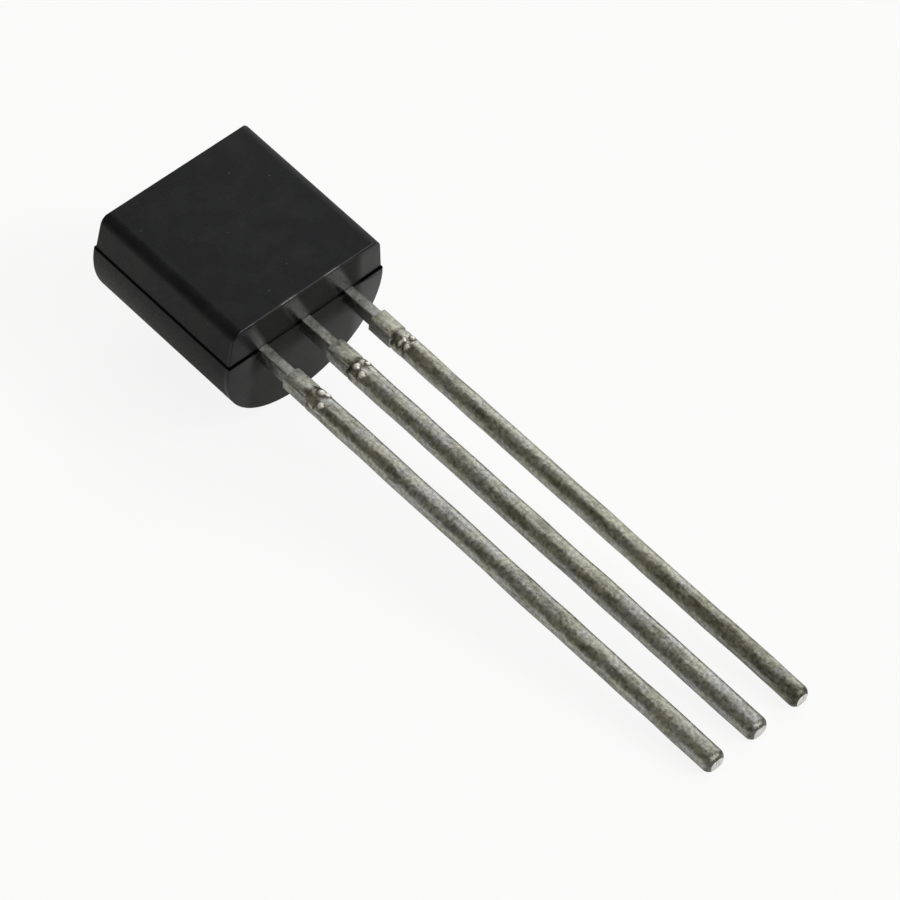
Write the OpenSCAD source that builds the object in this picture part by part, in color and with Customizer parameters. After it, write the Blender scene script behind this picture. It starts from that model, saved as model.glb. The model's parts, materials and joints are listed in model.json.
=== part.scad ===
// TO-92 transistor: a D-shaped body moulded round three straight leads, a chip and two bond wires.
// It lies as it comes to rest on a table: flat side up, on its rounded back and the tips of its leads.
// +X runs across the leads, the leads point to -Y, and +Z is up. Millimetres.

/* [Body] */
// Widest place of the rounded rear half
body_w = 4.6; // [4.3:0.05:5.2]
// Height of the rear half along the leads, at the parting line
body_h = 4.48; // [4.2:0.01:5.3]
// Thickness from the flat face to the rounded back
body_t = 3.62; // [3.3:0.01:4.2]
// Thickness of the front half, from the flat face down to the parting line
front_t = 1.01; // [0.9:0.01:1.4]
// How far the rear half stands out past the front half at the parting line, on the two sides
side_step = 0.02; // [0.01:0.01:0.1]
// How far it stands out at the two ends
end_step = 0.04; // [0.01:0.01:0.1]
// Slope of the front half's two sides, in degrees
side_draft = 6; // [3:0.5:12]
// Slope of the front half's two ends, in degrees
front_end_draft = 1.5; // [0.5:0.5:8]
// Slope of the rear half's two ends, in degrees
rear_end_draft = 1.5; // [0.5:0.5:5]
// Radius of the flat face's two long edges
flat_side_r = 0.28; // [0.05:0.01:0.45]
// Radius of the flat face's two short edges
flat_end_r = 0.06; // [0.03:0.01:0.15]

/* [Leads] */
// Distance between the middles of neighbouring leads
pitch = 1.27; // [1.15:0.01:1.35]
// Length of the leads outside the body
lead_l = 14.1; // [10:0.1:16]
// Width of the bare strip under the solder
lead_w = 0.42; // [0.36:0.01:0.5]
// Thickness of the bare strip
lead_t = 0.38; // [0.3:0.01:0.45]
// Width of the narrow neck where a lead leaves the body
neck_w = 0.3; // [0.24:0.01:0.4]
// Length of the neck outside the body
neck_l = 0.87; // [0.5:0.01:1.2]
// Width of the stub that is left of the dam bar
stub_w = 0.48; // [0.42:0.01:0.6]
// Length of the stub that is left of the dam bar
stub_l = 0.68; // [0.4:0.01:1]
// Thickness of the solder on the wide faces of the leads
solder_t = 0.065; // [0.03:0.005:0.08]
// Thickness of the solder on the narrow sides of the left and middle leads
side_solder_t = 0.065; // [0.03:0.005:0.08]
// Thickness of the solder on the narrow sides of the right lead, which took less
thin_side_solder_t = 0.035; // [0.03:0.005:0.08]
// Radius of the solder over the corners of the strip
solder_r = 0.165; // [0.05:0.005:0.18]

/* [Inside the body] */
// Distance from the lead end of the body to the paddle and the two posts
post_y = 1.5; // [1.2:0.05:1.8]
// Length of the two posts
post_l = 1.5; // [1.2:0.05:1.8]
// Width of the two posts
post_w = 0.7; // [0.5:0.05:0.8]
// How far the posts sit outward from the middle of their leads
post_shift = 0.13; // [0:0.01:0.2]
// Gap between the paddle and each post
post_gap = 0.3; // [0.2:0.05:0.5]
// Length of the paddle that carries the chip
paddle_l = 2.3; // [1.9:0.05:2.5]
// Distance from the near edge of the paddle to the middle of the chip
die_inset = 0.8; // [0.6:0.05:0.9]
// Diameter of the hole that locks the paddle in the body
paddle_hole_d = 0.5; // [0.3:0.05:0.6]
// Diameter of the hole that locks each post in the body
post_hole_d = 0.3; // [0.2:0.05:0.4]
// Distance from the far edge of the paddle or of a post to the rim of its hole
hole_edge = 0.2; // [0.15:0.01:0.25]
// Side of the square chip
die_w = 0.5; // [0.35:0.05:0.7]
// Thickness of the chip
die_t = 0.18; // [0.1:0.01:0.25]
// Thickness of the cement under the chip
bond_t = 0.02; // [0.01:0.005:0.04]
// How far the cement shows round the chip
bond_margin = 0.03; // [0.01:0.01:0.06]
// Diameter of the bond wires
wire_d = 0.05; // [0.03:0.005:0.06]
// Height of the wires' loops above the chip
loop_h = 0.32; // [0.22:0.01:0.4]
// Radius of the bends in the wires
loop_r = 0.14; // [0.08:0.01:0.18]
// Diameter of the flattened ends of the wires
foot_d = 0.11; // [0.07:0.01:0.14]
// Thickness of the flattened ends of the wires
foot_t = 0.025; // [0.015:0.005:0.04]

/* [Hidden] */
$fn = 48;
left = -1;
right = 1;
overlap = 0.05; // how far pieces of one solid run into each other

// Levels in the body's own frame, with the middle of the lead strips at z = 0 and the parting line
// level with their upper faces
strip_top = lead_t / 2;
parting_z = strip_top;
flat_z = parting_z + front_t;
back_z = flat_z - body_t;
back_r = body_w / 2;
back_centre_z = back_z + back_r;

// Half widths of both halves at the parting line
rear_half_w = sqrt(pow(back_r, 2) - pow(parting_z - back_centre_z, 2));
front_half_w = rear_half_w - side_step;

// How far the ends slope in by the back
back_end_in = (body_t - front_t) * tan(rear_end_draft);

// Leads
stub_y = -neck_l;
dip_y = stub_y - stub_l;
tip_z = -strip_top - solder_t;
post_x = pitch + post_shift;
paddle_w = 2 * (post_x - post_w / 2 - post_gap);

// Chip and wires
die_y = post_y + die_inset;
die_pad_x = die_w / 4;
die_top = strip_top + bond_t + die_t;
loop_z = die_top + loop_h;

// The resting pose: the near edge of the back and the lower edges of the tips touch the table
rest_tilt = atan2(tip_z - back_z, back_end_in + lead_l);
rest_lift = lead_l * sin(rest_tilt) - tip_z * cos(rest_tilt);
far_y = max((body_h - back_end_in) * cos(rest_tilt) - back_z * sin(rest_tilt),
            body_h * cos(rest_tilt) - parting_z * sin(rest_tilt));
near_y = -lead_l * cos(rest_tilt) + tip_z * sin(rest_tilt);

// Turns the body's own frame into the resting pose, with the origin under the middle of the whole part
module at_rest() {
    translate([0, -(far_y + near_y) / 2, rest_lift])
        rotate([rest_tilt, 0, 0])
            children();
}

// Front half of a section: from the parting line at z = 0 up to height, low_half to each side at the
// bottom, narrowing by the draft, with its upper corners rounded. It runs a little into the rear half.
module drafted_block(low_half, height, draft, r) {
    top_half = low_half - height * tan(draft);
    run = r * tan(45 - draft / 2);
    side_x = top_half + run * sin(draft);
    side_z = height - run * cos(draft);
    polygon([
        [-low_half, -overlap], [low_half, -overlap], [low_half, 0],
        [side_x, side_z], [top_half - run, height],
        [run - top_half, height], [-side_x, side_z], [-low_half, 0]
    ]);
    for (side = [left, right])
        translate([side * (top_half - run), height - r])
            circle(r);
}

// Section across the leads: a flat front half and a round rear half
module cross_section() {
    translate([0, parting_z])
        drafted_block(front_half_w, front_t, side_draft, flat_side_r);
    intersection() {
        translate([0, back_centre_z])
            circle(back_r, $fn = 96);
        translate([-body_w, parting_z - 2 * body_t])
            square([2 * body_w, 2 * body_t]);
    }
}

// Section along the leads, with y across the page: both halves slope in at their ends
module long_section() {
    translate([body_h / 2, parting_z])
        drafted_block(body_h / 2 - end_step, front_t, front_end_draft, flat_end_r);
    polygon([
        [back_end_in, back_z], [body_h - back_end_in, back_z],
        [body_h, parting_z], [0, parting_z]
    ]);
}

module body_form() {
    intersection() {
        translate([0, 1.5 * body_h, 0])
            rotate([90, 0, 0])
                linear_extrude(2 * body_h)
                    cross_section();
        rotate([90, 0, 90])
            translate([0, 0, -body_w])
                linear_extrude(2 * body_w)
                    long_section();
    }
}

// A flat piece of the lead strip, w wide, from y = from_y up to y = to_y
module strip(w, from_y, to_y) {
    translate([-w / 2, from_y, -strip_top])
        cube([w, to_y - from_y, lead_t]);
}

// Solder-covered length of a lead, from the stub to the tip
module dipped_length(side_solder) {
    w = lead_w + 2 * side_solder;
    t = lead_t + 2 * solder_t;
    translate([0, dip_y, 0])
        rotate([90, 0, 0])
            linear_extrude(lead_l + dip_y) {
                square([w - 2 * solder_r, t], center = true);
                square([w, t - 2 * solder_r], center = true);
                for (x = [left, right], z = [-1, 1])
                    translate([x * (w / 2 - solder_r), z * (t / 2 - solder_r)])
                        circle(solder_r);
            }
}

// What every lead has: the dipped length, the stub and the neck that runs up into the body
module lead_outside(side_solder) {
    dipped_length(side_solder);
    strip(stub_w, dip_y, stub_y);
    strip(neck_w, stub_y, post_y + overlap);
}

module locking_hole(d, far_edge_y) {
    translate([0, far_edge_y - hole_edge - d / 2, -lead_t])
        cylinder(h = 2 * lead_t, d = d);
}

// An outer lead, with the post that its wire is bonded to
module post_lead(side, side_solder) {
    translate([side * pitch, 0, 0])
        lead_outside(side_solder);
    translate([side * post_x, 0, 0])
        difference() {
            strip(post_w, post_y, post_y + post_l);
            locking_hole(post_hole_d, post_y + post_l);
        }
}

// The middle lead, with the paddle that carries the chip
module paddle_lead() {
    lead_outside(side_solder_t);
    difference() {
        strip(paddle_w, post_y, post_y + paddle_l);
        locking_hole(paddle_hole_d, post_y + paddle_l);
    }
}

module chip() {
    translate([-die_w / 2, die_y - die_w / 2, strip_top + bond_t])
        cube([die_w, die_w, die_t]);
}

module cement() {
    side = die_w + 2 * bond_margin;
    translate([-side / 2, die_y - side / 2, strip_top])
        cube([side, side, bond_t]);
}

// A quarter bend in the x-z plane, from straight up to level
module wire_bend() {
    rotate([90, 0, 0])
        rotate_extrude(angle = 90)
            translate([loop_r, 0])
                circle(d = wire_d, $fn = 24);
}

// A bond wire: up from the chip, across, and down to the post on its side
module loop_wire(side) {
    bend_z = loop_z - loop_r;
    run = post_x - die_pad_x - 2 * loop_r;
    mirror([side == left ? 1 : 0, 0, 0])
        translate([0, die_y, 0]) {
            translate([die_pad_x, 0, die_top]) {
                cylinder(h = foot_t, d = foot_d);
                cylinder(h = bend_z - die_top, d = wire_d, $fn = 24);
            }
            translate([die_pad_x + loop_r, 0, bend_z])
                mirror([1, 0, 0])
                    wire_bend();
            translate([die_pad_x + loop_r, 0, loop_z])
                rotate([0, 90, 0])
                    cylinder(h = run, d = wire_d, $fn = 24);
            translate([post_x - loop_r, 0, bend_z])
                wire_bend();
            translate([post_x, 0, strip_top]) {
                cylinder(h = foot_t, d = foot_d);
                cylinder(h = bend_z - strip_top, d = wire_d, $fn = 24);
            }
        }
}

module epoxy_body() {
    color("#2a2b2d")
        at_rest()
            difference() {
                body_form();
                post_lead(left, side_solder_t);
                paddle_lead();
                post_lead(right, thin_side_solder_t);
                chip();
                cement();
                loop_wire(left);
                loop_wire(right);
            }
}

module emitter_lead() {
    color("#a3a39a")
        at_rest()
            post_lead(left, side_solder_t);
}

module collector_lead() {
    color("#a3a39a")
        at_rest()
            paddle_lead();
}

module base_lead() {
    color("#a3a39a")
        at_rest()
            post_lead(right, thin_side_solder_t);
}

module silicon_die() {
    color("#4c5663")
        at_rest()
            chip();
}

module die_bond() {
    color("#b9bbbd")
        at_rest()
            cement();
}

module emitter_wire() {
    color("#d8a740")
        at_rest()
            loop_wire(left);
}

module base_wire() {
    color("#d8a740")
        at_rest()
            loop_wire(right);
}

epoxy_body();
emitter_lead();
collector_lead();
base_lead();
silicon_die();
die_bond();
emitter_wire();
base_wire();
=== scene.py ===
"""Looks of a TO-92 transistor: a moulded epoxy body on three solder-dipped leads, laid on a pale table."""

import json
import math

import bmesh
import bpy
from bpy.props import FloatProperty, PointerProperty, StringProperty
from mathutils import Matrix, Vector, noise


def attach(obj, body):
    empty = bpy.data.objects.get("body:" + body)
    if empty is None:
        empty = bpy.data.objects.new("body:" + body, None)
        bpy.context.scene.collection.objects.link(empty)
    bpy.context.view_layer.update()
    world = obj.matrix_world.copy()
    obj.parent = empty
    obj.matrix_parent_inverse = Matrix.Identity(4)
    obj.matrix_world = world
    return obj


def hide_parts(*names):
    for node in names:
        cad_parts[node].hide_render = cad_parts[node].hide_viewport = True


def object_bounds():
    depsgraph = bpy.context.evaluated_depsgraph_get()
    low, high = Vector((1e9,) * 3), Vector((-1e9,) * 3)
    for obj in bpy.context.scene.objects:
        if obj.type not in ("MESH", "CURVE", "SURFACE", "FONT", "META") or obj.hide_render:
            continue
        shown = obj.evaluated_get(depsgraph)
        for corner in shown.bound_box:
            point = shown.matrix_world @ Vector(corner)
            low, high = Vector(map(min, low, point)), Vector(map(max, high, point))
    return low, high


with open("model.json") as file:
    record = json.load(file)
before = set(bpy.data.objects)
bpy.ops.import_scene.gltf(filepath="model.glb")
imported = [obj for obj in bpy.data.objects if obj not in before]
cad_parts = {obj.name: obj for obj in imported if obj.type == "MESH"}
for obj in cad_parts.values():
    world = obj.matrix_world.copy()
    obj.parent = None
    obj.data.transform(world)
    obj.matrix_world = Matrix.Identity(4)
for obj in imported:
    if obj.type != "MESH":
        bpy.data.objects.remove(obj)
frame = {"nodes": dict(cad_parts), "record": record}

bl_info = {
    "name": "TO-92 Transistor",
    "version": (1, 0, 0),
    "blender": (4, 5, 0),
    "location": "3D View > Sidebar > Transistor",
    "description": "Models a TO-92 transistor and sets it on a small stage",
    "category": "Object",
}

CAD_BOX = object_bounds()
MM = 0.001
LEFT, MIDDLE, RIGHT = -1, 0, 1
LEAD_NODES = {LEFT: "emitter_lead", MIDDLE: "collector_lead", RIGHT: "base_lead"}
MERGE = 1e-7  # vertices closer than this are one
FACING = 0.99  # a face looks along an axis if this much of its normal lies that way

BACK_SIDES = 160  # of the polygon that stands for the rounded back
HOLE_SIDES = 48
EDGE_STEPS = 14  # rings round the flat's edges
FINE_RINGS, COARSE_RINGS = 0.02 * MM, 0.09 * MM  # spacing on the solder, by the beads and down the lead
BEADED_LENGTH = 0.6 * MM  # the beads lie within this of the solder's edge
WAVE = 0.4 * MM  # across one wave in the solder's skin
WAVE_SQUASH = 0.45  # a wave is drawn out along the lead by one over this
STREAK_SQUASH = 0.2  # and a streak of oxide by one over this

# Beads of solder that stood up where the dip ended: millimetres to the right of the lead's middle,
# millimetres down from the solder's edge, radius and height. The last one of the right lead is a pit.
BEADS = {LEFT: ((0.10, 0.20, 0.12, 0.04), (0.17, 0.34, 0.10, 0.035), (-0.16, 0.44, 0.11, 0.035)),
         MIDDLE: ((-0.11, 0.15, 0.12, 0.04), (-0.17, 0.38, 0.12, 0.04), (0.16, 0.25, 0.10, 0.035)),
         RIGHT: ((-0.07, 0.27, 0.08, 0.03), (-0.18, 0.26, 0.08, 0.03), (0.11, 0.36, 0.1, 0.04),
                 (-0.15, 0.44, 0.1, 0.035), (0.0, 0.38, 0.08, -0.03))}

FLOOR_RADIUS = 0.9
FLOOR_GAP = 0.01 * MM  # between the part and the table, so that their faces don't coincide
SKY = ((0.0, "#757468"), (0.6, "#717064"), (1.0, "#6f6e62"))  # how far up, and colour
# name, direction from the part, distance and diameter in metres, and radiance of the lamp's face
LAMPS = (("window_lamp", (0.75, 0.32, 0.55), 0.35, 0.38, 1.25),
         ("overhead_lamp", (0.15, -0.62, 0.77), 0.40, 0.29, 3.0),
         ("front_lamp", (0.47, -0.70, 0.54), 0.40, 0.17, 6.5))
AIM_SHIFT = (-0.1299 * MM, -0.0667 * MM, -0.1301 * MM)  # from the middle of the part's box to the aim
SENSOR = 36  # width in millimetres, which the lens's focal length goes with
CLIP_START, CLIP_END = 0.005, 10

# Settings that many nodes share
SMOOTH = {"interpolation_type": "SMOOTHSTEP"}
COLOURS = {"data_type": "RGBA"}
PRODUCT = {"operation": "MULTIPLY"}
PRODUCT_PLUS = {"operation": "MULTIPLY_ADD"}
DIFFERENCE = {"operation": "SUBTRACT"}
LARGER = {"operation": "MAXIMUM"}
UNSIGNED = {"operation": "ABSOLUTE"}
SCALED = {"operation": "SCALE"}


# ---------------------------------------------------------------- sizes and colours

def length(name, description, mm):
    return FloatProperty(name=name, description=description, default=mm * MM, min=0.0, precision=5,
                         subtype="DISTANCE", unit="LENGTH")


def angle(name, description, degrees):
    return FloatProperty(name=name, description=description, default=math.radians(degrees),
                         subtype="ANGLE", unit="ROTATION")


def colour(name, description, hex_code):
    return StringProperty(name=name, description=description + ", as an sRGB hex code", default=hex_code)


class BodySizes(bpy.types.PropertyGroup):
    """The moulded body. In its own frame z = 0 is the middle of the lead strip, and y = 0 is the lead end"""
    width: length("Width", "Widest place of the rounded rear half", 4.6)
    height: length("Height", "Height along the leads, at the parting line", 4.48)
    thickness: length("Thickness", "From the flat face to the rounded back", 3.62)
    front: length("Front half", "From the flat face down to the parting line", 1.01)
    side_step: length("Side step", "How far the rear half stands out at the sides", 0.02)
    end_step: length("End step", "How far the rear half stands out at the ends", 0.04)
    side_draft: angle("Side draft", "Slope of the front half's sides", 6)
    front_end_draft: angle("Front end draft", "Slope of the front half's ends", 1.5)
    rear_end_draft: angle("Rear end draft", "Slope of the rear half's ends", 1.5)
    flat_side_radius: length("Flat side radius", "Radius of the flat face's long edges", 0.29)
    flat_end_radius: length("Flat end radius", "Radius of the flat face's short edges", 0.07)
    rear_end_radius: length("Rear end radius",
                            "Radius of the rear half's end edges and of the body's corners", 0.03)
    groove_depth: length("Groove depth", "Depth of the parting line's groove below the step", 0.03)
    lip_radius: length("Lip radius", "Radius of the rear half's rim at the parting line", 0.008)
    epoxy: colour("Epoxy", "Main colour of the moulding", "#111217")
    epoxy_worn: colour("Epoxy bloom", "Colour of its paler, drier patches", "#1c1d1e")
    scorch: colour("Scorch", "Olive film on the end between the leads", "#1c1d15")
    filler: colour("Filler", "Colour of the specks of filler", "#45464a")


class LeadSizes(bpy.types.PropertyGroup):
    """The three leads and what they carry inside the body"""
    pitch: length("Pitch", "Between the middles of neighbouring leads", 1.27)
    outside: length("Length", "Length outside the body", 14.1)
    strip_width: length("Strip width", "Width of the strip under the solder", 0.42)
    strip_thickness: length("Strip thickness", "Thickness of the bare strip", 0.38)
    neck_width: length("Neck width", "Width where a lead leaves the body", 0.3)
    neck: length("Neck length", "Length of the narrow neck", 0.87)
    stub_width: length("Stub width", "Width of what is left of the dam bar", 0.48)
    stub: length("Stub length", "Length of what is left of the dam bar", 0.68)
    shoulder: length("Shoulder", "Length over which the strip changes width", 0.03)
    punch_radius: length("Punch radius", "Radius of the strip's punched edges", 0.07)
    solder: length("Solder", "Thickness of the solder on the wide faces", 0.075)
    side_solder: length("Side solder", "The same on the narrow sides", 0.075)
    thin_side_solder: length("Thin side solder", "The same on the right lead", 0.045)
    solder_radius: length("Solder radius", "Radius of the solder over the strip's corners", 0.23)
    film: length("Film", "How far the solder crept up past its edge", 0.16)
    ripple: length("Ripple", "Depth of the waves in the solder's skin", 0.014)
    tip_radius: length("Tip radius", "Radius round the cut tips", 0.18)
    post_start: length("Post start", "From the body's lead end to the posts", 1.5)
    post: length("Post length", "Length of the two bonding posts", 1.5)
    post_width: length("Post width", "Width of the two bonding posts", 0.7)
    post_shift: length("Post shift", "How far the posts sit outward from their leads", 0.13)
    paddle: length("Paddle length", "Length of the paddle under the chip", 2.3)
    paddle_width: length("Paddle width", "Width of the paddle under the chip", 1.5)
    post_hole: length("Post hole", "Diameter of the posts' locking holes", 0.3)
    paddle_hole: length("Paddle hole", "Diameter of the paddle's locking hole", 0.5)
    hole_edge: length("Hole edge", "From a hole's rim to the far edge", 0.2)
    tin: colour("Tin", "Tin plating of the strip", "#b6b6b2")
    # painted shade: the dark colour laid on the strip's punched sides, most near the body
    side_shade: colour("Tarnish", "Tarnished metal of the strip's punched sides", "#23231f")
    solder_colour: colour("Solder", "Dull solder of the dipped length", "#aeaeae")
    yellowed_solder: colour("Yellowed solder", "The same where it has yellowed", "#adada1")
    oxide: colour("Oxide", "Olive oxide in the hollows of the solder", "#55553f")
    # painted highlight: the pale colour laid on the beads' middles
    painted_bead_highlight: colour("Fresh solder", "Bright solder of the beads", "#f4f1e8")
    # painted shade: the dark colour laid round the cut tips
    tip_shade: colour("Cut edge", "Dark burr round the cut tips", "#1e1e1b")
    flux: colour("Flux", "Burnt flux by the edge of the solder", "#3f2c20")
    sheared: colour("Sheared metal", "Bare metal of the cut tips", "#f2f0ec")


class InnerColours(bpy.types.PropertyGroup):
    """The parts sealed inside the body"""
    silicon: colour("Silicon", "The chip", "#3c434d")
    cement: colour("Cement", "Silver-filled cement under the chip", "#b4b4b6")
    gold: colour("Gold", "The bond wires", "#dfb25c")


class StageSettings(bpy.types.PropertyGroup):
    """Floor, lamps and camera"""
    floor_colour: colour("Floor", "Colour of the table", "#f6f6f6")
    floor_white: FloatProperty(name="Floor white", default=0.88, min=0.0, max=1.0, subtype="FACTOR",
                               description="Share of plain white in the floor as the camera sees it")
    mirrored_white: FloatProperty(name="Mirrored white", default=0.2, min=0.0, max=1.0, subtype="FACTOR",
                                  description="Share of plain white in the floor as gloss and glass see it")
    azimuth: angle("Azimuth", "Side that the camera looks from", -42.2085)
    elevation: angle("Elevation", "Height of the camera above the horizon", 46.4619)
    roll: angle("Roll", "Turn of the camera about its own axis", -1.7142)
    distance: length("Distance", "From the camera to the point it aims at", 119.66)
    lens: FloatProperty(name="Lens", description="Focal length in millimetres, on a sensor 36 mm wide",
                        default=222.65)


# ---------------------------------------------------------------- small helpers

def start_clean():
    if bpy.context.object and bpy.context.object.mode != "OBJECT":
        bpy.ops.object.mode_set(mode="OBJECT")
    bpy.ops.object.select_all(action="DESELECT")


def newest(name):
    """The primitive just added, named and with its place in its mesh."""
    piece = bpy.context.object
    piece.name = piece.data.name = name
    bpy.ops.object.transform_apply(location=True, rotation=True, scale=True)
    return piece


def select(piece, kind, wanted):
    """In edit mode, selects just the vertices, edges or faces that wanted() accepts."""
    bpy.ops.mesh.select_mode(type={"verts": "VERT", "edges": "EDGE", "faces": "FACE"}[kind])
    bpy.ops.mesh.select_all(action="DESELECT")
    mesh = bmesh.from_edit_mesh(piece.data)
    mesh.normal_update()
    chosen = [part for part in getattr(mesh, kind) if wanted(part)]
    for part in chosen:
        part.select = True
    mesh.select_flush_mode()
    bmesh.update_edit_mesh(piece.data)
    if not chosen:
        raise RuntimeError(f"no {kind} to work on in {piece.name}")


def middle(part):
    """Middle of an edge or a face."""
    return sum((v.co for v in part.verts), Vector()) / len(part.verts)


def extrude_to(shift, scale=(1, 1, 1), centre=(0, 0, 0)):
    """Extrudes what is selected, moves the new end and scales it about centre."""
    bpy.ops.mesh.extrude_region_move(TRANSFORM_OT_translate={"value": shift})
    bpy.ops.transform.resize(value=scale, center_override=centre)


def cut(point, normal):
    """Cuts away everything on the side that normal points to, and closes the cut."""
    bpy.ops.mesh.select_all(action="SELECT")
    bpy.ops.mesh.bisect(plane_co=point, plane_no=normal, use_fill=True, clear_outer=True, threshold=MERGE)


def bevel(width, segments):
    """Rounds the selected edges."""
    bpy.ops.mesh.bevel(offset=width, segments=segments, profile=0.5, affect="EDGES", clamp_overlap=True)


def tidy_mesh(piece, smooth_angle=35):
    """Merges doubles, turns the faces outward and smooths all but the sharp edges."""
    start_clean()
    piece.select_set(True)
    bpy.context.view_layer.objects.active = piece
    bpy.ops.object.mode_set(mode="EDIT")
    bpy.ops.mesh.select_all(action="SELECT")
    bpy.ops.mesh.remove_doubles(threshold=MERGE)
    bpy.ops.mesh.normals_make_consistent(inside=False)
    if bmesh.from_edit_mesh(piece.data).calc_volume(signed=True) < 0:
        bpy.ops.mesh.flip_normals()
    bpy.ops.object.mode_set(mode="OBJECT")
    bpy.ops.object.shade_smooth_by_angle(angle=math.radians(smooth_angle))


def combine(piece, other, operation):
    """Applies a boolean with another object, and removes that object."""
    start_clean()
    bpy.context.view_layer.objects.active = piece
    piece.select_set(True)
    modifier = piece.modifiers.new(operation.title(), "BOOLEAN")
    modifier.operation, modifier.object, modifier.solver = operation, other, "EXACT"
    bpy.ops.object.modifier_apply(modifier=modifier.name)
    bpy.data.objects.remove(other)


def body_to_row():
    """Matrix from the body's own frame to the resting pose, read off the record's mounts."""
    mounts = {mount["name"]: mount for mount in frame["record"]["mounts"]}
    body = bpy.context.scene.transistor_body
    lead = bpy.context.scene.transistor_leads
    along = -Vector(mounts["lead_tips"]["axis"])
    up = Vector(mounts["flat_side"]["axis"])
    turn = Matrix((along.cross(up), along, up)).transposed()
    flat_middle = Vector((0, body.height / 2, lead.strip_thickness / 2 + body.front))
    origin = Vector(mounts["flat_side"]["pos_m"]) - turn @ flat_middle
    return Matrix.Translation(origin) @ turn.to_4x4()


def lay_down(piece):
    """Puts a finished piece into the resting pose, with its place in its mesh."""
    start_clean()
    bpy.context.view_layer.objects.active = piece
    piece.select_set(True)
    piece.matrix_world = body_to_row()
    bpy.ops.object.transform_apply(location=True, rotation=True, scale=True)


def hand_over(piece, nodes):
    """The piece stands for its CAD nodes and rides with them."""
    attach(piece, "root")
    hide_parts(*nodes)


def box(name, low, high):
    """A box between two corners, open for editing."""
    size = [b - a for a, b in zip(low, high)]
    bpy.ops.mesh.primitive_cube_add(size=1, location=[(a + b) / 2 for a, b in zip(low, high)], scale=size)
    piece = newest(name)
    bpy.ops.object.mode_set(mode="EDIT")
    return piece


def fade(value, low, high):
    """0 at low, 1 at high and smooth between them."""
    t = min(1.0, max(0.0, (value - low) / (high - low)))
    return t * t * (3 - 2 * t)


# ---------------------------------------------------------------- materials

def linear(hex_code, alpha=1.0):
    """sRGB hex code to the linear colour that Blender works in."""
    parts = [int(hex_code[i:i + 2], 16) / 255 for i in (1, 3, 5)]
    return [c / 12.92 if c <= 0.04045 else ((c + 0.055) / 1.055) ** 2.4 for c in parts] + [alpha]


def add_node(tree, kind, settings=None, inputs=None):
    """Adds a node. An input that is given a socket, or a node for its first output in use, is linked, and
    any other is set."""
    node = tree.nodes.new(kind)
    for name, value in (settings or {}).items():
        if name == "stops":
            ramp = node.color_ramp.elements
            while len(ramp) < len(value):
                ramp.new(1.0)
            for stop, (place, shade) in zip(ramp, value):
                stop.position, stop.color = place, shade
        else:
            setattr(node, name, value)
    for name, value in (inputs or {}).items():
        if isinstance(value, bpy.types.Node):
            value = next(output for output in value.outputs if output.enabled)
        if isinstance(value, bpy.types.NodeSocket):
            tree.links.new(value, node.inputs[name])
        else:
            node.inputs[name].default_value = value
    return node


def new_material(name):
    """An empty node material. Returns the material and its tree."""
    material = bpy.data.materials.new(name)
    material.use_nodes = True
    material.node_tree.nodes.clear()
    return material, material.node_tree


def finish_surface(tree, shader):
    """Adds the material's output and links the shader to it."""
    output = add_node(tree, "ShaderNodeOutputMaterial")
    tree.links.new(shader.outputs[0], output.inputs["Surface"])


def per_metre(mm):
    """Noise scale whose features are about this many millimetres across."""
    return 1 / (mm * MM)


def own_place(tree):
    """Node that turns Object coordinates into the body's own frame: x across, y along the leads, z out of
    the flat."""
    where = add_node(tree, "ShaderNodeTexCoord").outputs["Object"]
    back = body_to_row().inverted()
    return add_node(tree, "ShaderNodeMapping", {"vector_type": "POINT"},
                    {"Vector": where, "Location": back.to_translation(), "Rotation": back.to_euler("XYZ")})


def from_lead(tree, across):
    """Node that gives how far a place across the body is from the middle of the nearest lead."""
    pitch = bpy.context.scene.transistor_leads.pitch
    wrapped = add_node(tree, "ShaderNodeMath", {"operation": "WRAP"},
                       {0: across, 1: pitch / 2, 2: -pitch / 2})
    return add_node(tree, "ShaderNodeMath", UNSIGNED, {0: wrapped})


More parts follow.
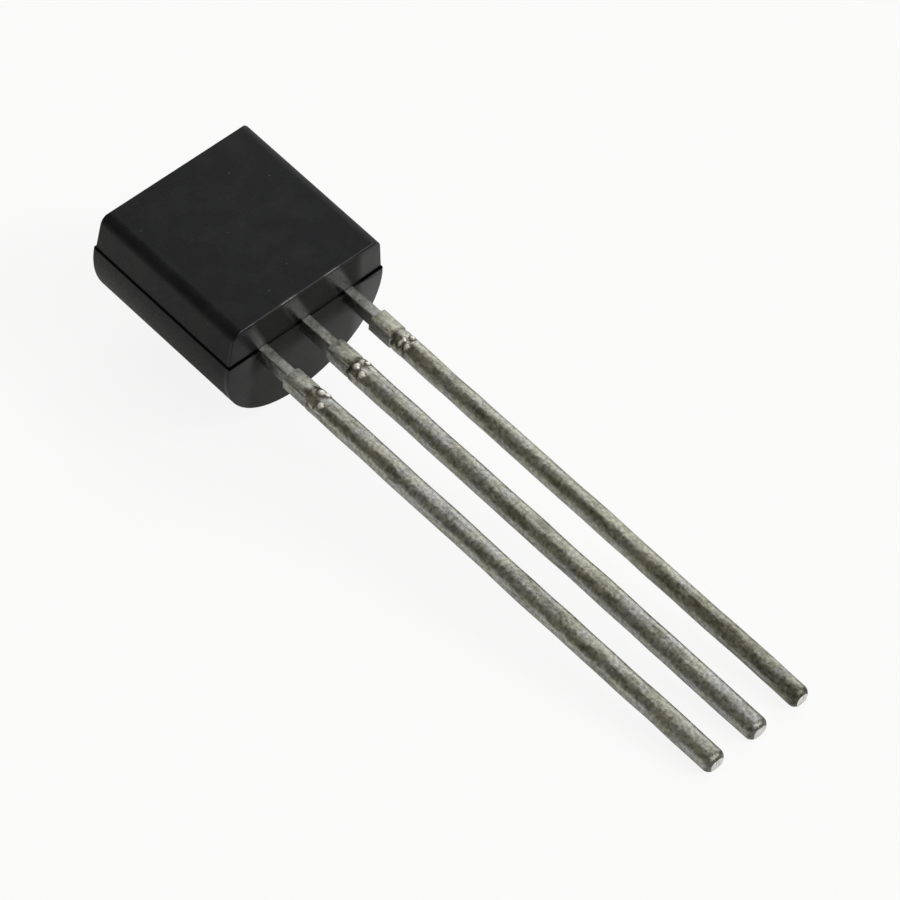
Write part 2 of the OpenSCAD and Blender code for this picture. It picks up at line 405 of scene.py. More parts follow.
def moulded_epoxy():
    """Silica-filled epoxy moulded against a spark-eroded tool: near black, matte, with a fine even grain,
    a dry bloom in soft patches and a few pale specks of filler. The lead end is smoother, with a scorched
    olive film between the leads, left off in glossy slanted bands that give painted reflections. Painted
    shade darkens both sides of the parting groove."""
    body = bpy.context.scene.transistor_body
    material, tree = new_material("moulded_epoxy")
    place = own_place(tree)
    patches = add_node(tree, "ShaderNodeTexNoise", {},
                       {"Vector": place, "Scale": per_metre(0.7), "Detail": 4.0, "Roughness": 0.6})
    patch_level = add_node(tree, "ShaderNodeMapRange", {},
                           {"Value": patches, "From Min": 0.42, "From Max": 0.68})
    grain = add_node(tree, "ShaderNodeTexNoise", {},
                     {"Vector": place, "Scale": per_metre(0.06), "Detail": 3.0, "Roughness": 0.65})
    base = add_node(tree, "ShaderNodeMix", COLOURS,
                    {"Factor": patch_level, "A": linear(body.epoxy), "B": linear(body.epoxy_worn)})
    mottle = add_node(tree, "ShaderNodeMapRange", {},
                      {"Value": grain, "From Min": 0.3, "From Max": 0.7, "To Min": 0.75, "To Max": 1.3})
    mottled = add_node(tree, "ShaderNodeVectorMath", SCALED, {0: base, "Scale": mottle})
    # one grain of filler in every third cell or so, about 0.03 mm across
    cells = add_node(tree, "ShaderNodeTexVoronoi", {}, {"Vector": place, "Scale": per_metre(0.3)})
    bare_cells = 0.62  # share of the cells without one
    near_grain = add_node(tree, "ShaderNodeMapRange", SMOOTH,
                          {"Value": cells, "From Min": 0.03, "From Max": 0.075, "To Min": 1.0, "To Max": 0.0})
    chosen = add_node(tree, "ShaderNodeMath", {"operation": "GREATER_THAN"},
                      {0: cells.outputs["Color"], 1: bare_cells})
    speck = add_node(tree, "ShaderNodeMath", PRODUCT, {0: near_grain, 1: chosen})
    specked = add_node(tree, "ShaderNodeMix", COLOURS,
                       {"Factor": speck, "A": mottled, "B": linear(body.filler)})
    grainy = add_node(tree, "ShaderNodeMapRange", {},
                      {"Value": grain, "From Min": 0.3, "From Max": 0.7, "To Min": 0.42, "To Max": 0.6})
    axes = add_node(tree, "ShaderNodeSeparateXYZ", {}, {"Vector": place}).outputs
    at_leads = add_node(tree, "ShaderNodeMapRange", SMOOTH,
                        {"Value": axes["Y"], "From Min": 0.09 * MM, "From Max": 0.16 * MM,
                         "To Min": 1.0, "To Max": 0.0})
    # between the leads the end is scorched and rough, except in a slanted band up from each lead, placed
    # where the necks' reflections fall, which is glossier and bare of film: a painted reflection made with
    # gloss
    across = add_node(tree, "ShaderNodeMath", UNSIGNED, {0: axes["X"]})
    between = add_node(tree, "ShaderNodeMapRange", SMOOTH,
                       {"Value": across, "From Min": 1.4 * MM, "From Max": 1.75 * MM,
                        "To Min": 1.0, "To Max": 0.0})
    reflection_slant = 0.47  # sideways for each step up
    slanted = add_node(tree, "ShaderNodeMath", PRODUCT_PLUS, {0: axes["Z"], 1: reflection_slant, 2: axes["X"]})
    reflection_slant_band = add_node(tree, "ShaderNodeMapRange", SMOOTH,
                       {"Value": from_lead(tree, slanted), "From Min": 0.12 * MM, "From Max": 0.3 * MM,
                        "To Min": 1.0, "To Max": 0.0})
    in_front = add_node(tree, "ShaderNodeMapRange", SMOOTH,
                        {"Value": axes["Z"], "From Min": -0.8 * MM, "From Max": -0.1 * MM,
                         "To Min": 0.45, "To Max": 1.0})
    above_lead = add_node(tree, "ShaderNodeMapRange", {},
                          {"Value": axes["Z"], "From Min": 0.0, "From Max": 0.15 * MM})
    reflection_band_above_strip = add_node(tree, "ShaderNodeMath", PRODUCT, {0: reflection_slant_band, 1: above_lead})
    reflection_band = add_node(tree, "ShaderNodeMath", PRODUCT, {0: between, 1: reflection_band_above_strip})
    soiled = add_node(tree, "ShaderNodeMath", DIFFERENCE, {0: between, 1: reflection_band})
    below_edge = add_node(tree, "ShaderNodeMapRange", SMOOTH,
                          {"Value": axes["Z"], "From Min": 1.08 * MM, "From Max": 1.16 * MM,
                           "To Min": 1.0, "To Max": 0.3})
    deep = add_node(tree, "ShaderNodeMath", PRODUCT, {0: in_front, 1: below_edge})
    scorch = add_node(tree, "ShaderNodeMath", PRODUCT, {0: soiled, 1: deep})
    film_patches = add_node(tree, "ShaderNodeMapRange", SMOOTH,
                            {"Value": grain, "From Min": 0.35, "From Max": 0.6})
    on_end = add_node(tree, "ShaderNodeMath", PRODUCT, {0: scorch, 1: at_leads})
    film = add_node(tree, "ShaderNodeMath", PRODUCT, {0: on_end, 1: film_patches})
    filmed = add_node(tree, "ShaderNodeMix", COLOURS,
                      {"Factor": film, "A": specked, "B": linear(body.scorch)})
    reflection_band_on_end = add_node(tree, "ShaderNodeMath", PRODUCT, {0: reflection_band, 1: at_leads})
    gloss = add_node(tree, "ShaderNodeMapRange", {}, {"Value": reflection_band_on_end, "To Min": 0.22, "To Max": 0.5})
    end_rough = add_node(tree, "ShaderNodeMapRange", {}, {"Value": scorch, "To Min": 0.24, "To Max": 0.75})
    rough = add_node(tree, "ShaderNodeMix", {"data_type": "FLOAT"},
                     {"Factor": at_leads, "A": grainy, "B": end_rough})
    relief = add_node(tree, "ShaderNodeBump", {}, {"Height": grain, "Strength": 0.35, "Distance": 0.012 * MM})
    # painted shade: the colour and gloss are darkened on both sides of the parting line's groove, where shade
    # falls, though not on the scorched part of the lead end
    parting = bpy.context.scene.transistor_leads.strip_thickness / 2
    from_parting = add_node(tree, "ShaderNodeMath", DIFFERENCE, {0: axes["Z"], 1: parting})
    off_parting = add_node(tree, "ShaderNodeMath", UNSIGNED, {0: from_parting})
    groove_shade_ramp = add_node(tree, "ShaderNodeMapRange", SMOOTH,
                        {"Value": off_parting, "From Min": 0.015 * MM, "From Max": 0.065 * MM,
                         "To Min": 0.15, "To Max": 1.0})
    groove_shade = add_node(tree, "ShaderNodeMath", LARGER, {0: groove_shade_ramp, 1: on_end})
    groove_shaded = add_node(tree, "ShaderNodeVectorMath", SCALED, {0: filmed, "Scale": groove_shade})
    groove_shaded_gloss = add_node(tree, "ShaderNodeMath", PRODUCT, {0: gloss, 1: groove_shade})
    shader = add_node(tree, "ShaderNodeBsdfPrincipled", {},
                      {"Base Color": groove_shaded, "Roughness": rough, "Normal": relief, "IOR": 1.5,
                       "Specular IOR Level": groove_shaded_gloss})
    finish_surface(tree, shader)
    return material


def dull_solder():
    """Hot-dipped solder gone dull: a satin grey skin with streaks along the lead, olive oxide in the hollows,
    and beads among burnt brown flux where the dip ended, with a painted highlight of pale colour on each
    bead's middle."""
    lead = bpy.context.scene.transistor_leads
    material, tree = new_material("dull_solder")
    place = own_place(tree)
    drawn_out = add_node(tree, "ShaderNodeMapping", {}, {"Vector": place, "Scale": (1.0, STREAK_SQUASH, 1.0)})
    streaks = add_node(tree, "ShaderNodeTexNoise", {},
                       {"Vector": drawn_out, "Scale": per_metre(0.16), "Detail": 5.0, "Roughness": 0.6})
    skin = add_node(tree, "ShaderNodeTexNoise", {},
                    {"Vector": place, "Scale": per_metre(0.09), "Detail": 3.0, "Roughness": 0.6})
    axes = add_node(tree, "ShaderNodeSeparateXYZ", {}, {"Vector": place}).outputs
    more_oxide, more_yellow = 0.14, 0.1  # added to the noises on the right lead
    # the right lead is browner towards its tip
    to_tip = add_node(tree, "ShaderNodeMapRange", SMOOTH,
                      {"Value": axes["Y"], "From Min": -13.5 * MM, "From Max": -8.0 * MM,
                       "To Min": 1.0, "To Max": 0.0})
    on_right = add_node(tree, "ShaderNodeMath", {"operation": "GREATER_THAN"},
                        {0: axes["X"], 1: lead.pitch / 2})
    browner = add_node(tree, "ShaderNodeMath", PRODUCT, {0: to_tip, 1: on_right})
    streak_level = add_node(tree, "ShaderNodeMath", PRODUCT_PLUS, {0: browner, 1: more_oxide, 2: streaks})
    oxide_level = add_node(tree, "ShaderNodeMapRange", {},
                           {"Value": streak_level, "From Min": 0.48, "From Max": 0.74, "To Max": 0.75})
    # the skin is cool grey in some places and yellowish in others, most of all on the right lead
    tint = add_node(tree, "ShaderNodeTexNoise", {},
                    {"Vector": place, "Scale": per_metre(0.45), "Detail": 2.0})
    tint_level = add_node(tree, "ShaderNodeMath", PRODUCT_PLUS, {0: on_right, 1: more_yellow, 2: tint})
    yellowing = add_node(tree, "ShaderNodeMapRange", {},
                         {"Value": tint_level, "From Min": 0.4, "From Max": 0.6})
    tinted = add_node(tree, "ShaderNodeMix", COLOURS,
                      {"Factor": yellowing, "A": linear(lead.solder_colour),
                       "B": linear(lead.yellowed_solder)})
    oxidised = add_node(tree, "ShaderNodeMix", COLOURS,
                        {"Factor": oxide_level, "A": tinted, "B": linear(lead.oxide)})
    mottle = add_node(tree, "ShaderNodeMapRange", {},
                      {"Value": skin, "From Min": 0.35, "From Max": 0.65, "To Min": 0.65, "To Max": 1.35})
    mottled = add_node(tree, "ShaderNodeVectorMath", SCALED, {0: oxidised, "Scale": mottle})
    # flux, strongest by the edge of the solder and gone within half a millimetre, and a painted highlight of
    # pale colour on the beads
    to_flux = lead.neck + lead.stub + 0.25 * MM
    down = add_node(tree, "ShaderNodeMath", {"operation": "ADD"}, {0: axes["Y"], 1: to_flux})
    distance = add_node(tree, "ShaderNodeMath", UNSIGNED, {0: down})
    near_edge = add_node(tree, "ShaderNodeMapRange", SMOOTH,
                         {"Value": distance, "From Min": 0.2 * MM, "From Max": 0.45 * MM,
                          "To Min": 1.0, "To Max": 0.0})
    blots = add_node(tree, "ShaderNodeTexNoise", {},
                     {"Vector": place, "Scale": per_metre(0.16), "Detail": 3.0, "Roughness": 0.6})
    blotted = add_node(tree, "ShaderNodeMapRange", {},
                       {"Value": blots, "From Min": 0.54, "From Max": 0.64, "To Max": 0.8})
    bead = add_node(tree, "ShaderNodeAttribute", {"attribute_name": "bead"}).outputs["Fac"]
    round_beads = add_node(tree, "ShaderNodeMapRange", SMOOTH,
                           {"Value": bead, "From Max": 0.3, "To Max": 0.7})
    burnt = add_node(tree, "ShaderNodeMath", LARGER, {0: blotted, 1: round_beads})
    flux_level = add_node(tree, "ShaderNodeMath", PRODUCT, {0: near_edge, 1: burnt})
    stained = add_node(tree, "ShaderNodeMix", COLOURS,
                       {"Factor": flux_level, "A": mottled, "B": linear(lead.flux)})
    # painted highlight: each bead's middle takes a pale colour and less metal, standing in for the glint on
    # it
    bead_highlight_level = add_node(tree, "ShaderNodeMapRange", SMOOTH, {"Value": bead, "From Min": 0.3, "From Max": 0.95})
    bead_highlighted = add_node(tree, "ShaderNodeMix", COLOURS,
                      {"Factor": bead_highlight_level, "A": stained, "B": linear(lead.painted_bead_highlight)})
    # painted shade: a dark band round the cut tip stands in for the dark surroundings mirrored in its rounded
    # edge
    tip_shade_band = add_node(tree, "ShaderNodeMapRange", SMOOTH,
                      {"Value": axes["Y"], "From Min": 0.5 * lead.tip_radius - lead.outside,
                       "From Max": 1.1 * lead.tip_radius - lead.outside, "To Min": 0.6, "To Max": 0.0})
    tip_shaded = add_node(tree, "ShaderNodeMix", COLOURS,
                      {"Factor": tip_shade_band, "A": bead_highlighted, "B": linear(lead.tip_shade)})
    dull = add_node(tree, "ShaderNodeMath", LARGER, {0: flux_level, 1: bead_highlight_level})
    metallic = add_node(tree, "ShaderNodeMapRange", {}, {"Value": dull, "To Min": 1.0, "To Max": 0.4})
    satin = add_node(tree, "ShaderNodeMapRange", {},
                     {"Value": skin, "From Min": 0.3, "From Max": 0.7, "To Min": 0.34, "To Max": 0.46})
    rough = add_node(tree, "ShaderNodeMix", {"data_type": "FLOAT"},
                     {"Factor": near_edge, "A": satin, "B": 0.3})
    wrinkles = add_node(tree, "ShaderNodeMapRange", {}, {"Value": near_edge, "To Min": 0.35, "To Max": 0.08})
    relief = add_node(tree, "ShaderNodeBump", {},
                      {"Height": skin, "Strength": wrinkles, "Distance": 0.02 * MM})
    shader = add_node(tree, "ShaderNodeBsdfPrincipled", {},
                      {"Base Color": tip_shaded, "Metallic": metallic, "Roughness": rough, "Normal": relief})
    finish_surface(tree, shader)
    return material


def tin_plated_strip():
    """Matte tin on the wide faces of the punched strip: paler and greyer than the solder, finely pitted and
    dirtied by the mould. The narrow sides are bare metal, dark with painted shade that deepens towards the
    body."""
    lead = bpy.context.scene.transistor_leads
    material, tree = new_material("tin_plated_strip")
    place = own_place(tree)
    pits = add_node(tree, "ShaderNodeTexNoise", {},
                    {"Vector": place, "Scale": per_metre(0.07), "Detail": 4.0, "Roughness": 0.65})
    dirt = add_node(tree, "ShaderNodeTexNoise", {},
                    {"Vector": place, "Scale": per_metre(0.25), "Detail": 3.0})
    dirt_level = add_node(tree, "ShaderNodeMapRange", {},
                          {"Value": dirt, "From Min": 0.52, "From Max": 0.7, "To Max": 0.5})
    dirtied = add_node(tree, "ShaderNodeMix", COLOURS,
                       {"Factor": dirt_level, "A": linear(lead.tin), "B": linear(lead.oxide)})
    mottle = add_node(tree, "ShaderNodeMapRange", {},
                      {"Value": pits, "From Min": 0.35, "From Max": 0.65, "To Min": 0.7, "To Max": 1.15})
    mottled = add_node(tree, "ShaderNodeVectorMath", SCALED, {0: dirtied, "Scale": mottle})
    # the punched sides are bare metal, given painted shade that is darker towards the body: half the strip's
    # width steps up from the neck to the stub
    axes = add_node(tree, "ShaderNodeSeparateXYZ", {}, {"Vector": place}).outputs
    half = add_node(tree, "ShaderNodeMapRange", {},
                    {"Value": axes["Y"], "From Min": -lead.neck - lead.shoulder, "From Max": -lead.neck,
                     "To Min": lead.stub_width / 2, "To Max": lead.neck_width / 2})
    inset = add_node(tree, "ShaderNodeMath", DIFFERENCE, {0: half, 1: from_lead(tree, axes["X"])})
    punched = add_node(tree, "ShaderNodeMapRange", SMOOTH,
                       {"Value": inset, "From Min": 0.01 * MM, "From Max": 0.05 * MM,
                        "To Min": 1.0, "To Max": 0.0})
    root = add_node(tree, "ShaderNodeMapRange", SMOOTH,
                    {"Value": axes["Y"], "From Min": -lead.neck, "From Max": -0.2 * MM,
                     "To Min": 0.45, "To Max": 0.9})
    patchy = add_node(tree, "ShaderNodeMapRange", {},
                      {"Value": dirt, "From Min": 0.5, "From Max": 0.62, "To Min": 1.0, "To Max": 0.6})
    patchy_side_shade = add_node(tree, "ShaderNodeMath", PRODUCT, {0: root, 1: patchy})
    side_shade = add_node(tree, "ShaderNodeMath", PRODUCT, {0: punched, 1: patchy_side_shade})
    shade = add_node(tree, "ShaderNodeMix", COLOURS,
                     {"Factor": side_shade, "A": mottled, "B": linear(lead.side_shade)})
    rough = add_node(tree, "ShaderNodeMapRange", {},
                     {"Value": pits, "From Min": 0.3, "From Max": 0.7, "To Min": 0.38, "To Max": 0.55})
    relief = add_node(tree, "ShaderNodeBump", {}, {"Height": pits, "Strength": 0.35, "Distance": 0.02 * MM})
    shader = add_node(tree, "ShaderNodeBsdfPrincipled", {},
                      {"Base Color": shade, "Metallic": 0.85, "Roughness": rough, "Normal": relief})
    finish_surface(tree, shader)
    return material


def sheared_tip():
    """Sheared metal with tin smeared over it: the brightest metal on the part, with fine drag lines."""
    lead = bpy.context.scene.transistor_leads
    material, tree = new_material("sheared_tip")
    drag = add_node(tree, "ShaderNodeMapping", {}, {"Vector": own_place(tree), "Scale": (1.0, 1.0, 0.15)})
    lines = add_node(tree, "ShaderNodeTexNoise", {},
                     {"Vector": drag, "Scale": per_metre(0.05), "Detail": 3.0})
    bare = add_node(tree, "ShaderNodeMapRange", {}, {"Value": lines, "From Min": 0.3, "From Max": 0.6})
    shade = add_node(tree, "ShaderNodeMix", COLOURS,
                     {"Factor": bare, "A": linear(lead.solder_colour), "B": linear(lead.sheared)})
    rough = add_node(tree, "ShaderNodeMapRange", {}, {"Value": lines, "To Min": 0.15, "To Max": 0.3})
    relief = add_node(tree, "ShaderNodeBump", {}, {"Height": lines, "Strength": 0.2, "Distance": 0.01 * MM})
    shader = add_node(tree, "ShaderNodeBsdfPrincipled", {},
                      {"Base Color": shade, "Metallic": 1.0, "Roughness": rough, "Normal": relief})
    finish_surface(tree, shader)
    return material


def polished_silicon():
    """A diced silicon chip: dark blue-grey and mirror-smooth on top, with faint saw lines on its sides."""
    inner = bpy.context.scene.transistor_inside
    material, tree = new_material("polished_silicon")
    place = add_node(tree, "ShaderNodeTexCoord").outputs["Object"]
    sawn = add_node(tree, "ShaderNodeMapping", {}, {"Vector": place, "Scale": (0.2, 0.2, 1.0)})
    lines = add_node(tree, "ShaderNodeTexNoise", {},
                     {"Vector": sawn, "Scale": per_metre(0.015), "Detail": 2.0})
    level = add_node(tree, "ShaderNodeMapRange", {},
                     {"Value": lines, "From Min": 0.3, "From Max": 0.7, "To Min": 0.8, "To Max": 1.15})
    shade = add_node(tree, "ShaderNodeVectorMath", SCALED, {0: linear(inner.silicon)[:3], "Scale": level})
    rough = add_node(tree, "ShaderNodeMapRange", {}, {"Value": lines, "To Min": 0.05, "To Max": 0.2})
    shader = add_node(tree, "ShaderNodeBsdfPrincipled", {},
                      {"Base Color": shade, "Roughness": rough, "IOR": 3.9})
    finish_surface(tree, shader)
    return material


def silver_cement():
    """Epoxy loaded with silver flakes: a matt metal grey that sparkles a little from flake to flake."""
    inner = bpy.context.scene.transistor_inside
    material, tree = new_material("silver_filled_cement")
    place = add_node(tree, "ShaderNodeTexCoord").outputs["Object"]
    flakes = add_node(tree, "ShaderNodeTexVoronoi", {}, {"Vector": place, "Scale": per_metre(0.012)})
    tilt = add_node(tree, "ShaderNodeMapRange", {},
                    {"Value": flakes.outputs["Color"], "To Min": 0.35, "To Max": 0.6})
    relief = add_node(tree, "ShaderNodeBump", {}, {"Height": flakes, "Strength": 0.4, "Distance": 0.003 * MM})
    shader = add_node(tree, "ShaderNodeBsdfPrincipled", {},
                      {"Base Color": linear(inner.cement), "Metallic": 1.0, "Roughness": tilt,
                       "Normal": relief})
    finish_surface(tree, shader)
    return material


def drawn_gold():
    """Gold bond wire drawn through a die: bright and smooth, with faint scuffs from the bonding tool."""
    inner = bpy.context.scene.transistor_inside
    material, tree = new_material("drawn_gold")
    place = add_node(tree, "ShaderNodeTexCoord").outputs["Object"]
    scuffs = add_node(tree, "ShaderNodeTexNoise", {},
                      {"Vector": place, "Scale": per_metre(0.02), "Detail": 3.0, "Roughness": 0.6})
    rough = add_node(tree, "ShaderNodeMapRange", {}, {"Value": scuffs, "To Min": 0.1, "To Max": 0.3})
    relief = add_node(tree, "ShaderNodeBump", {},
                      {"Height": scuffs, "Strength": 0.15, "Distance": 0.002 * MM})
    shader = add_node(tree, "ShaderNodeBsdfPrincipled", {},
                      {"Base Color": linear(inner.gold), "Metallic": 1.0, "Roughness": rough,
                       "Normal": relief})
    finish_surface(tree, shader)
    return material


def white_laminate():
    """Matt white laminate. The camera sees it nearly white, with the part's shadow left in it, and metal and
    gloss see it paler than its lit colour."""
    stage = bpy.context.scene.transistor_stage
    material, tree = new_material("white_laminate")
    matt = add_node(tree, "ShaderNodeBsdfPrincipled", {},
                    {"Base Color": linear(stage.floor_colour), "Roughness": 0.8, "Specular IOR Level": 0.1})
    white = add_node(tree, "ShaderNodeEmission", {}, {"Color": (1, 1, 1, 1), "Strength": 1.0})
    ray = add_node(tree, "ShaderNodeLightPath").outputs
    clear = add_node(tree, "ShaderNodeMath", LARGER, {0: ray["Is Glossy Ray"], 1: ray["Is Transmission Ray"]})
    mirrored = add_node(tree, "ShaderNodeMath", PRODUCT, {0: clear, 1: stage.mirrored_white})
    share = add_node(tree, "ShaderNodeMath", PRODUCT_PLUS,
                     {0: ray["Is Camera Ray"], 1: stage.floor_white, 2: mirrored})
    both = add_node(tree, "ShaderNodeMixShader", {}, {0: share, 1: matt, 2: white})
    finish_surface(tree, both)
    return material


# ---------------------------------------------------------------- shapes

def drafted(z, half, draft, radius, top):
    """Half width at height z of a wall that leans in by draft and is rounded over into the top."""
    centre_z = top - radius
    tangent_z = centre_z + radius * math.sin(draft)
    if z <= tangent_z:
        return half - z * math.tan(draft)
    centre = half - tangent_z * math.tan(draft) - radius * math.cos(draft)
    return centre + math.sqrt(max(0.0, radius ** 2 - (z - centre_z) ** 2))


def model_body():
    """A round bar cut off flat and at its two sloping ends, with the front half drawn up from the cut."""
    body, lead = bpy.context.scene.transistor_body, bpy.context.scene.transistor_leads
    parting = lead.strip_thickness / 2
    back_radius = body.width / 2
    back_middle = parting + body.front - body.thickness + back_radius
    mid_y = body.height / 2

    start_clean()
    bpy.ops.mesh.primitive_cylinder_add(vertices=BACK_SIDES, radius=back_radius, depth=2 * body.height,
                                        location=(0, mid_y, back_middle), rotation=(math.pi / 2, 0, 0))
    piece = newest("moulded_body")
    bpy.ops.object.mode_set(mode="EDIT")
    cut((0, 0, parting), (0, 0, 1))
    cos, sin = math.cos(body.rear_end_draft), math.sin(body.rear_end_draft)
    cut((0, body.height, parting), (0, cos, -sin))
    cut((0, 0, parting), (0, -cos, -sin))
    select(piece, "edges", lambda e: middle(e).z < parting - MERGE
           and any(abs(f.normal.y) > FACING for f in e.link_faces))
    bevel(body.rear_end_radius, 4)

    # the cut face goes down into the groove, then up in rings to the flat
    select(piece, "faces", lambda f: f.normal.z > FACING)
    rim_x = max(v.co.x for v in bmesh.from_edit_mesh(piece.data).verts if v.select)
    rounding = [body.side_draft + (math.pi / 2 - body.side_draft) * step / EDGE_STEPS
                for step in range(EDGE_STEPS + 1)]
    heights = [-body.groove_depth]
    heights += [body.front - body.flat_side_radius * (1 - math.sin(a)) for a in rounding]
    last_x, last_y, last_z = rim_x, mid_y, 0.0
    for z in heights:
        x = drafted(z, rim_x - body.side_step, body.side_draft, body.flat_side_radius, body.front)
        y = drafted(z, mid_y - body.end_step, body.front_end_draft, body.flat_end_radius, body.front)
        extrude_to((0, 0, z - last_z), (x / last_x, y / last_y, 1), (0, mid_y, parting + z))
        last_x, last_y, last_z = x, y, z
    select(piece, "edges", lambda e: all(abs(v.co.z - parting) < MERGE for v in e.verts))
    bevel(body.lip_radius, 2)
    bpy.ops.object.mode_set(mode="OBJECT")
    return piece


def model_strip(side):
    """The punched strip of one lead: its post or paddle, the neck, the stub and the start of the solder."""
    lead = bpy.context.scene.transistor_leads
    x = side * lead.pitch
    head_x = x + side * lead.post_shift
    head_w, head_l = (lead.post_width, lead.post) if side else (lead.paddle_width, lead.paddle)
    half_t = lead.strip_thickness / 2
    head_end = lead.post_start + head_l
    piece = box("strip", (head_x - head_w / 2, lead.post_start, -half_t),
                (head_x + head_w / 2, head_end, half_t))
    select(piece, "faces", lambda f: f.normal.y < -FACING)
    # each step: how far the strip runs on at this width, then the width it changes to
    steps = ((0, lead.neck_width), (lead.post_start + lead.neck - lead.shoulder, lead.stub_width),
             (lead.stub - lead.shoulder, lead.strip_width))
    width, middle_x = head_w, head_x
    for run, new_width in steps:
        if run:
            extrude_to((0, -run, 0))
        ratio = new_width / width
        centre_x = (x - ratio * middle_x) / (1 - ratio)
        extrude_to((0, -lead.shoulder, 0), (ratio, 1, 1), (centre_x, 0, 0))
        width, middle_x = new_width, x
    extrude_to((0, -1.25 * lead.film, 0))
    select(piece, "edges", lambda e: abs(e.verts[0].co.y - e.verts[1].co.y) > 0.9 * lead.shoulder
           and middle(e).y < lead.post_start - 2 * lead.shoulder)
    bevel(lead.punch_radius, 4)
    bpy.ops.object.mode_set(mode="OBJECT")
    hole = lead.post_hole if side else lead.paddle_hole
    start_clean()
    bpy.ops.mesh.primitive_cylinder_add(vertices=HOLE_SIDES, radius=hole / 2, depth=4 * half_t,
                                        location=(head_x, head_end - lead.hole_edge - hole / 2, 0))
    combine(piece, newest("hole"), "DIFFERENCE")
    return piece


def near_beads(side, across, down):
    """For each bead that reaches here, how near its middle is, from 0 at its rim to 1, and its height."""
    for bead_across, bead_down, radius, height in BEADS[side]:
        away = math.hypot(across - bead_across * MM, down - bead_down * MM) / (radius * MM)
        if away < 1:
            yield 1 - away ** 2, height


def solder_swell(side, across, down, up):
    """How far the solder stands out from its plain bar: it thins out at its edge, ripples and has beads."""
    lead = bpy.context.scene.transistor_leads
    left_at_edge = 0.1  # of the solder's thickness
    swell = (left_at_edge - 1) * lead.solder * (1 - fade(down, -lead.film, lead.film))
    another_place = Vector((7 * side, 0, 0))  # in the noise, so that the three leads differ
    ripples = noise.noise(Vector((across, WAVE_SQUASH * down, up)) / WAVE + another_place)
    swell -= lead.ripple * (0.5 + ripples) * fade(down, 0, 0.5 * MM)
    if up > 0:
        swell += sum(height * MM * near ** 1.5 for near, height in near_beads(side, across, down))
    return swell


def model_solder(side):
    """The solder on the dipped length: a rounded bar with a cut tip and an uneven skin."""
    lead = bpy.context.scene.transistor_leads
    x = side * lead.pitch
    half_w = lead.strip_width / 2 + (lead.thin_side_solder if side == RIGHT else lead.side_solder)
    half_t = lead.strip_thickness / 2 + lead.solder
    edge_y = -(lead.neck + lead.stub)
    film_y = edge_y + lead.film
    piece = box("solder", (x - half_w, -lead.outside, -half_t), (x + half_w, film_y, half_t))
    select(piece, "edges", lambda e: abs(e.verts[0].co.y - e.verts[1].co.y) > MM)
    bevel(lead.solder_radius, 9)
    select(piece, "edges", lambda e: all(v.co.y < -lead.outside + MERGE for v in e.verts))
    bevel(lead.tip_radius, 7)
    # rings close together by the beads, further apart down the lead
    bead_end = edge_y - BEADED_LENGTH
    plain_end = -lead.outside + 1.5 * lead.tip_radius
    for y in (bead_end, plain_end):
        bpy.ops.mesh.select_all(action="SELECT")
        bpy.ops.mesh.bisect(plane_co=(0, y, 0), plane_no=(0, 1, 0), threshold=MERGE)
    for low, high, spacing in ((bead_end, film_y, FINE_RINGS), (plain_end, bead_end, COARSE_RINGS)):
        select(piece, "edges",
               lambda e: abs(abs(e.verts[0].co.y - e.verts[1].co.y) - (high - low)) < 10 * MERGE)
        bpy.ops.mesh.subdivide(number_cuts=round((high - low) / spacing))
    # the skin moves in and out, and the cut tip stays flat
    mesh = bmesh.from_edit_mesh(piece.data)
    mesh.normal_update()
    for v in mesh.verts:
        outward = Vector((v.normal.x, 0, v.normal.z))
        if outward.length > 0.3:
            v.co += outward.normalized() * solder_swell(side, v.co.x - x, edge_y - v.co.y, v.co.z)
    bmesh.update_edit_mesh(piece.data)
    bpy.ops.object.mode_set(mode="OBJECT")
    return piece


# ---------------------------------------------------------------- operators

class TRANSISTOR_OT_mould_body(bpy.types.Operator):
    """Models the D-shaped body: a round rear half, a drafted flat front half and the groove between them"""
    bl_idname = "transistor.mould_body"
    bl_label = "Mould the Body"

    def execute(self, context):
        piece = model_body()
        for side in LEAD_NODES:
            combine(piece, model_strip(side), "DIFFERENCE")
        tidy_mesh(piece)
        piece.data.materials.append(moulded_epoxy())
        lay_down(piece)
        hand_over(piece, ["epoxy_body"])
        return {"FINISHED"}


class TRANSISTOR_OT_make_leads(bpy.types.Operator):
    """Models the three punched and solder-dipped leads, with the posts and the paddle inside the body"""
    bl_idname = "transistor.make_leads"
    bl_label = "Make the Leads"

    def execute(self, context):
        lead = context.scene.transistor_leads
        finishes = [tin_plated_strip(), dull_solder(), sheared_tip()]
        film_y = lead.film - lead.neck - lead.stub
        cut_y = -lead.outside + 0.1 * lead.tip_radius
        for side, node in LEAD_NODES.items():
            piece = model_strip(side)
            combine(piece, model_solder(side), "UNION")
            piece.name = piece.data.name = node.replace("_lead", "_tinned_lead")
            tidy_mesh(piece, 40)
            piece.data.materials.clear()
            for finish in finishes:
                piece.data.materials.append(finish)
            for face in piece.data.polygons:
                y = face.center.y
                face.material_index = 2 if y < cut_y else 1 if y < film_y else 0
            bead = piece.data.attributes.new("bead", "FLOAT", "POINT")
            for v, value in zip(piece.data.vertices, bead.data):
                if v.co.z > 0:
                    across, down = v.co.x - side * lead.pitch, film_y - lead.film - v.co.y
                    value.value = max((near for near, height in near_beads(side, across, down)
                                       if height > 0), default=0.0)
            lay_down(piece)
            hand_over(piece, [node])
        return {"FINISHED"}


class TRANSISTOR_OT_finish_inside(bpy.types.Operator):
    """Gives the chip, its cement and the two bond wires their finishes"""
    bl_idname = "transistor.finish_inside"
    bl_label = "Finish the Inner Parts"

    def execute(self, context):
        gold = drawn_gold()
        finishes = {"silicon_die": polished_silicon(), "die_bond": silver_cement(),
                    "emitter_wire": gold, "base_wire": gold}
        for node, finish in finishes.items():
            for slot in frame["nodes"][node].material_slots:
                slot.material = finish
        return {"FINISHED"}


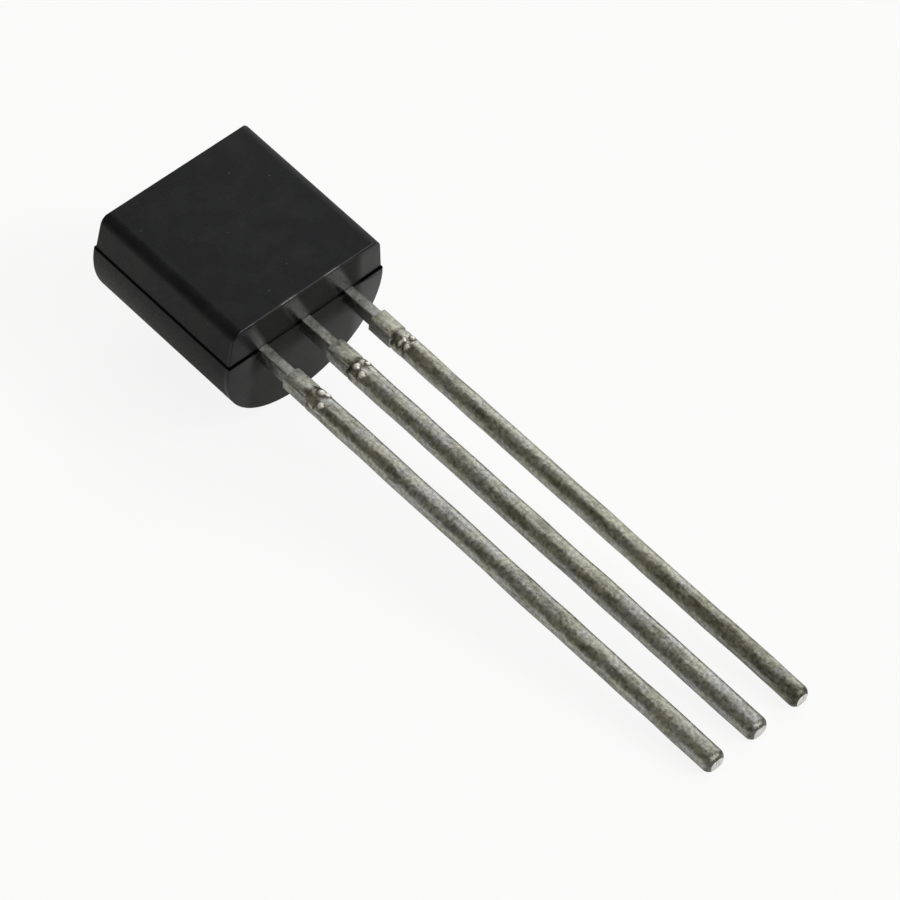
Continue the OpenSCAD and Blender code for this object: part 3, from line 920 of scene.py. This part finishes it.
class TRANSISTOR_OT_set_stage(bpy.types.Operator):
    """Sets the part on a pale table under soft lamps, and places the camera"""
    bl_idname = "transistor.set_stage"
    bl_label = "Set the Stage"

    def execute(self, context):
        stage = context.scene.transistor_stage
        start_clean()
        bpy.ops.mesh.primitive_circle_add(vertices=96, radius=FLOOR_RADIUS, fill_type="NGON",
                                          location=(0, 0, -FLOOR_GAP))
        floor = newest("table")
        floor.data.materials.append(white_laminate())

        world = bpy.data.worlds.new("studio")
        context.scene.world = world
        world.use_nodes = True
        sky = world.node_tree
        sky.nodes.clear()
        toward = add_node(sky, "ShaderNodeTexCoord").outputs["Generated"]
        height = add_node(sky, "ShaderNodeSeparateXYZ", {}, {"Vector": toward}).outputs["Z"]
        ramp = add_node(sky, "ShaderNodeValToRGB", {"stops": [(up, linear(shade)) for up, shade in SKY]},
                        {"Fac": height})
        light = add_node(sky, "ShaderNodeBackground", {}, {"Color": ramp, "Strength": 1.0})
        out = add_node(sky, "ShaderNodeOutputWorld")
        sky.links.new(light.outputs["Background"], out.inputs["Surface"])

        for name, toward, distance, size, level in LAMPS:
            bpy.ops.object.light_add(type="AREA")
            lamp = context.object
            lamp.name = name
            direction = Vector(toward).normalized()
            lamp.location = direction * distance
            lamp.rotation_mode = "QUATERNION"
            lamp.rotation_quaternion = direction.to_track_quat("Z", "Y")
            lamp.data.shape = "DISK"
            lamp.data.size = size
            lamp.data.energy = level * math.pi ** 2 * (size / 2) ** 2  # watts from radiance

        low, high = CAD_BOX
        aim = (low + high) / 2 + Vector(AIM_SHIFT)
        back = Vector((math.sin(stage.azimuth) * math.cos(stage.elevation),
                       -math.cos(stage.azimuth) * math.cos(stage.elevation), math.sin(stage.elevation)))
        bpy.ops.object.camera_add(location=aim + back * stage.distance)
        camera = context.object
        camera.rotation_mode = "QUATERNION"
        rolled = Matrix.Rotation(stage.roll, 3, "Z").to_quaternion()
        camera.rotation_quaternion = back.to_track_quat("Z", "Y") @ rolled
        camera.data.sensor_width = SENSOR
        camera.data.lens = stage.lens
        camera.data.clip_start, camera.data.clip_end = CLIP_START, CLIP_END
        context.scene.camera = camera
        context.scene.view_settings.view_transform = "Standard"
        return {"FINISHED"}


class TRANSISTOR_PT_panel(bpy.types.Panel):
    """The part's steps, in the order that they run"""
    bl_label = "TO-92 Transistor"
    bl_idname = "TRANSISTOR_PT_panel"
    bl_space_type = "VIEW_3D"
    bl_region_type = "UI"
    bl_category = "Transistor"

    def draw(self, context):
        for step in STEPS:
            self.layout.operator(step.bl_idname)
        for name, group in GROUPS.items():
            column = self.layout.column(align=True)
            for size in group.__annotations__:
                column.prop(getattr(context.scene, name), size)


STEPS = (TRANSISTOR_OT_mould_body, TRANSISTOR_OT_make_leads, TRANSISTOR_OT_finish_inside,
         TRANSISTOR_OT_set_stage)
GROUPS = {"transistor_body": BodySizes, "transistor_leads": LeadSizes, "transistor_inside": InnerColours,
          "transistor_stage": StageSettings}


def register():
    for item in (*GROUPS.values(), *STEPS, TRANSISTOR_PT_panel):
        bpy.utils.register_class(item)
    for name, group in GROUPS.items():
        setattr(bpy.types.Scene, name, PointerProperty(type=group))


def unregister():
    for name in GROUPS:
        delattr(bpy.types.Scene, name)
    for item in reversed((*GROUPS.values(), *STEPS, TRANSISTOR_PT_panel)):
        bpy.utils.unregister_class(item)


def main():
    register()
    bpy.ops.transistor.mould_body()
    bpy.ops.transistor.make_leads()
    bpy.ops.transistor.finish_inside()
    bpy.ops.transistor.set_stage()


if __name__ == "__main__":
    main()
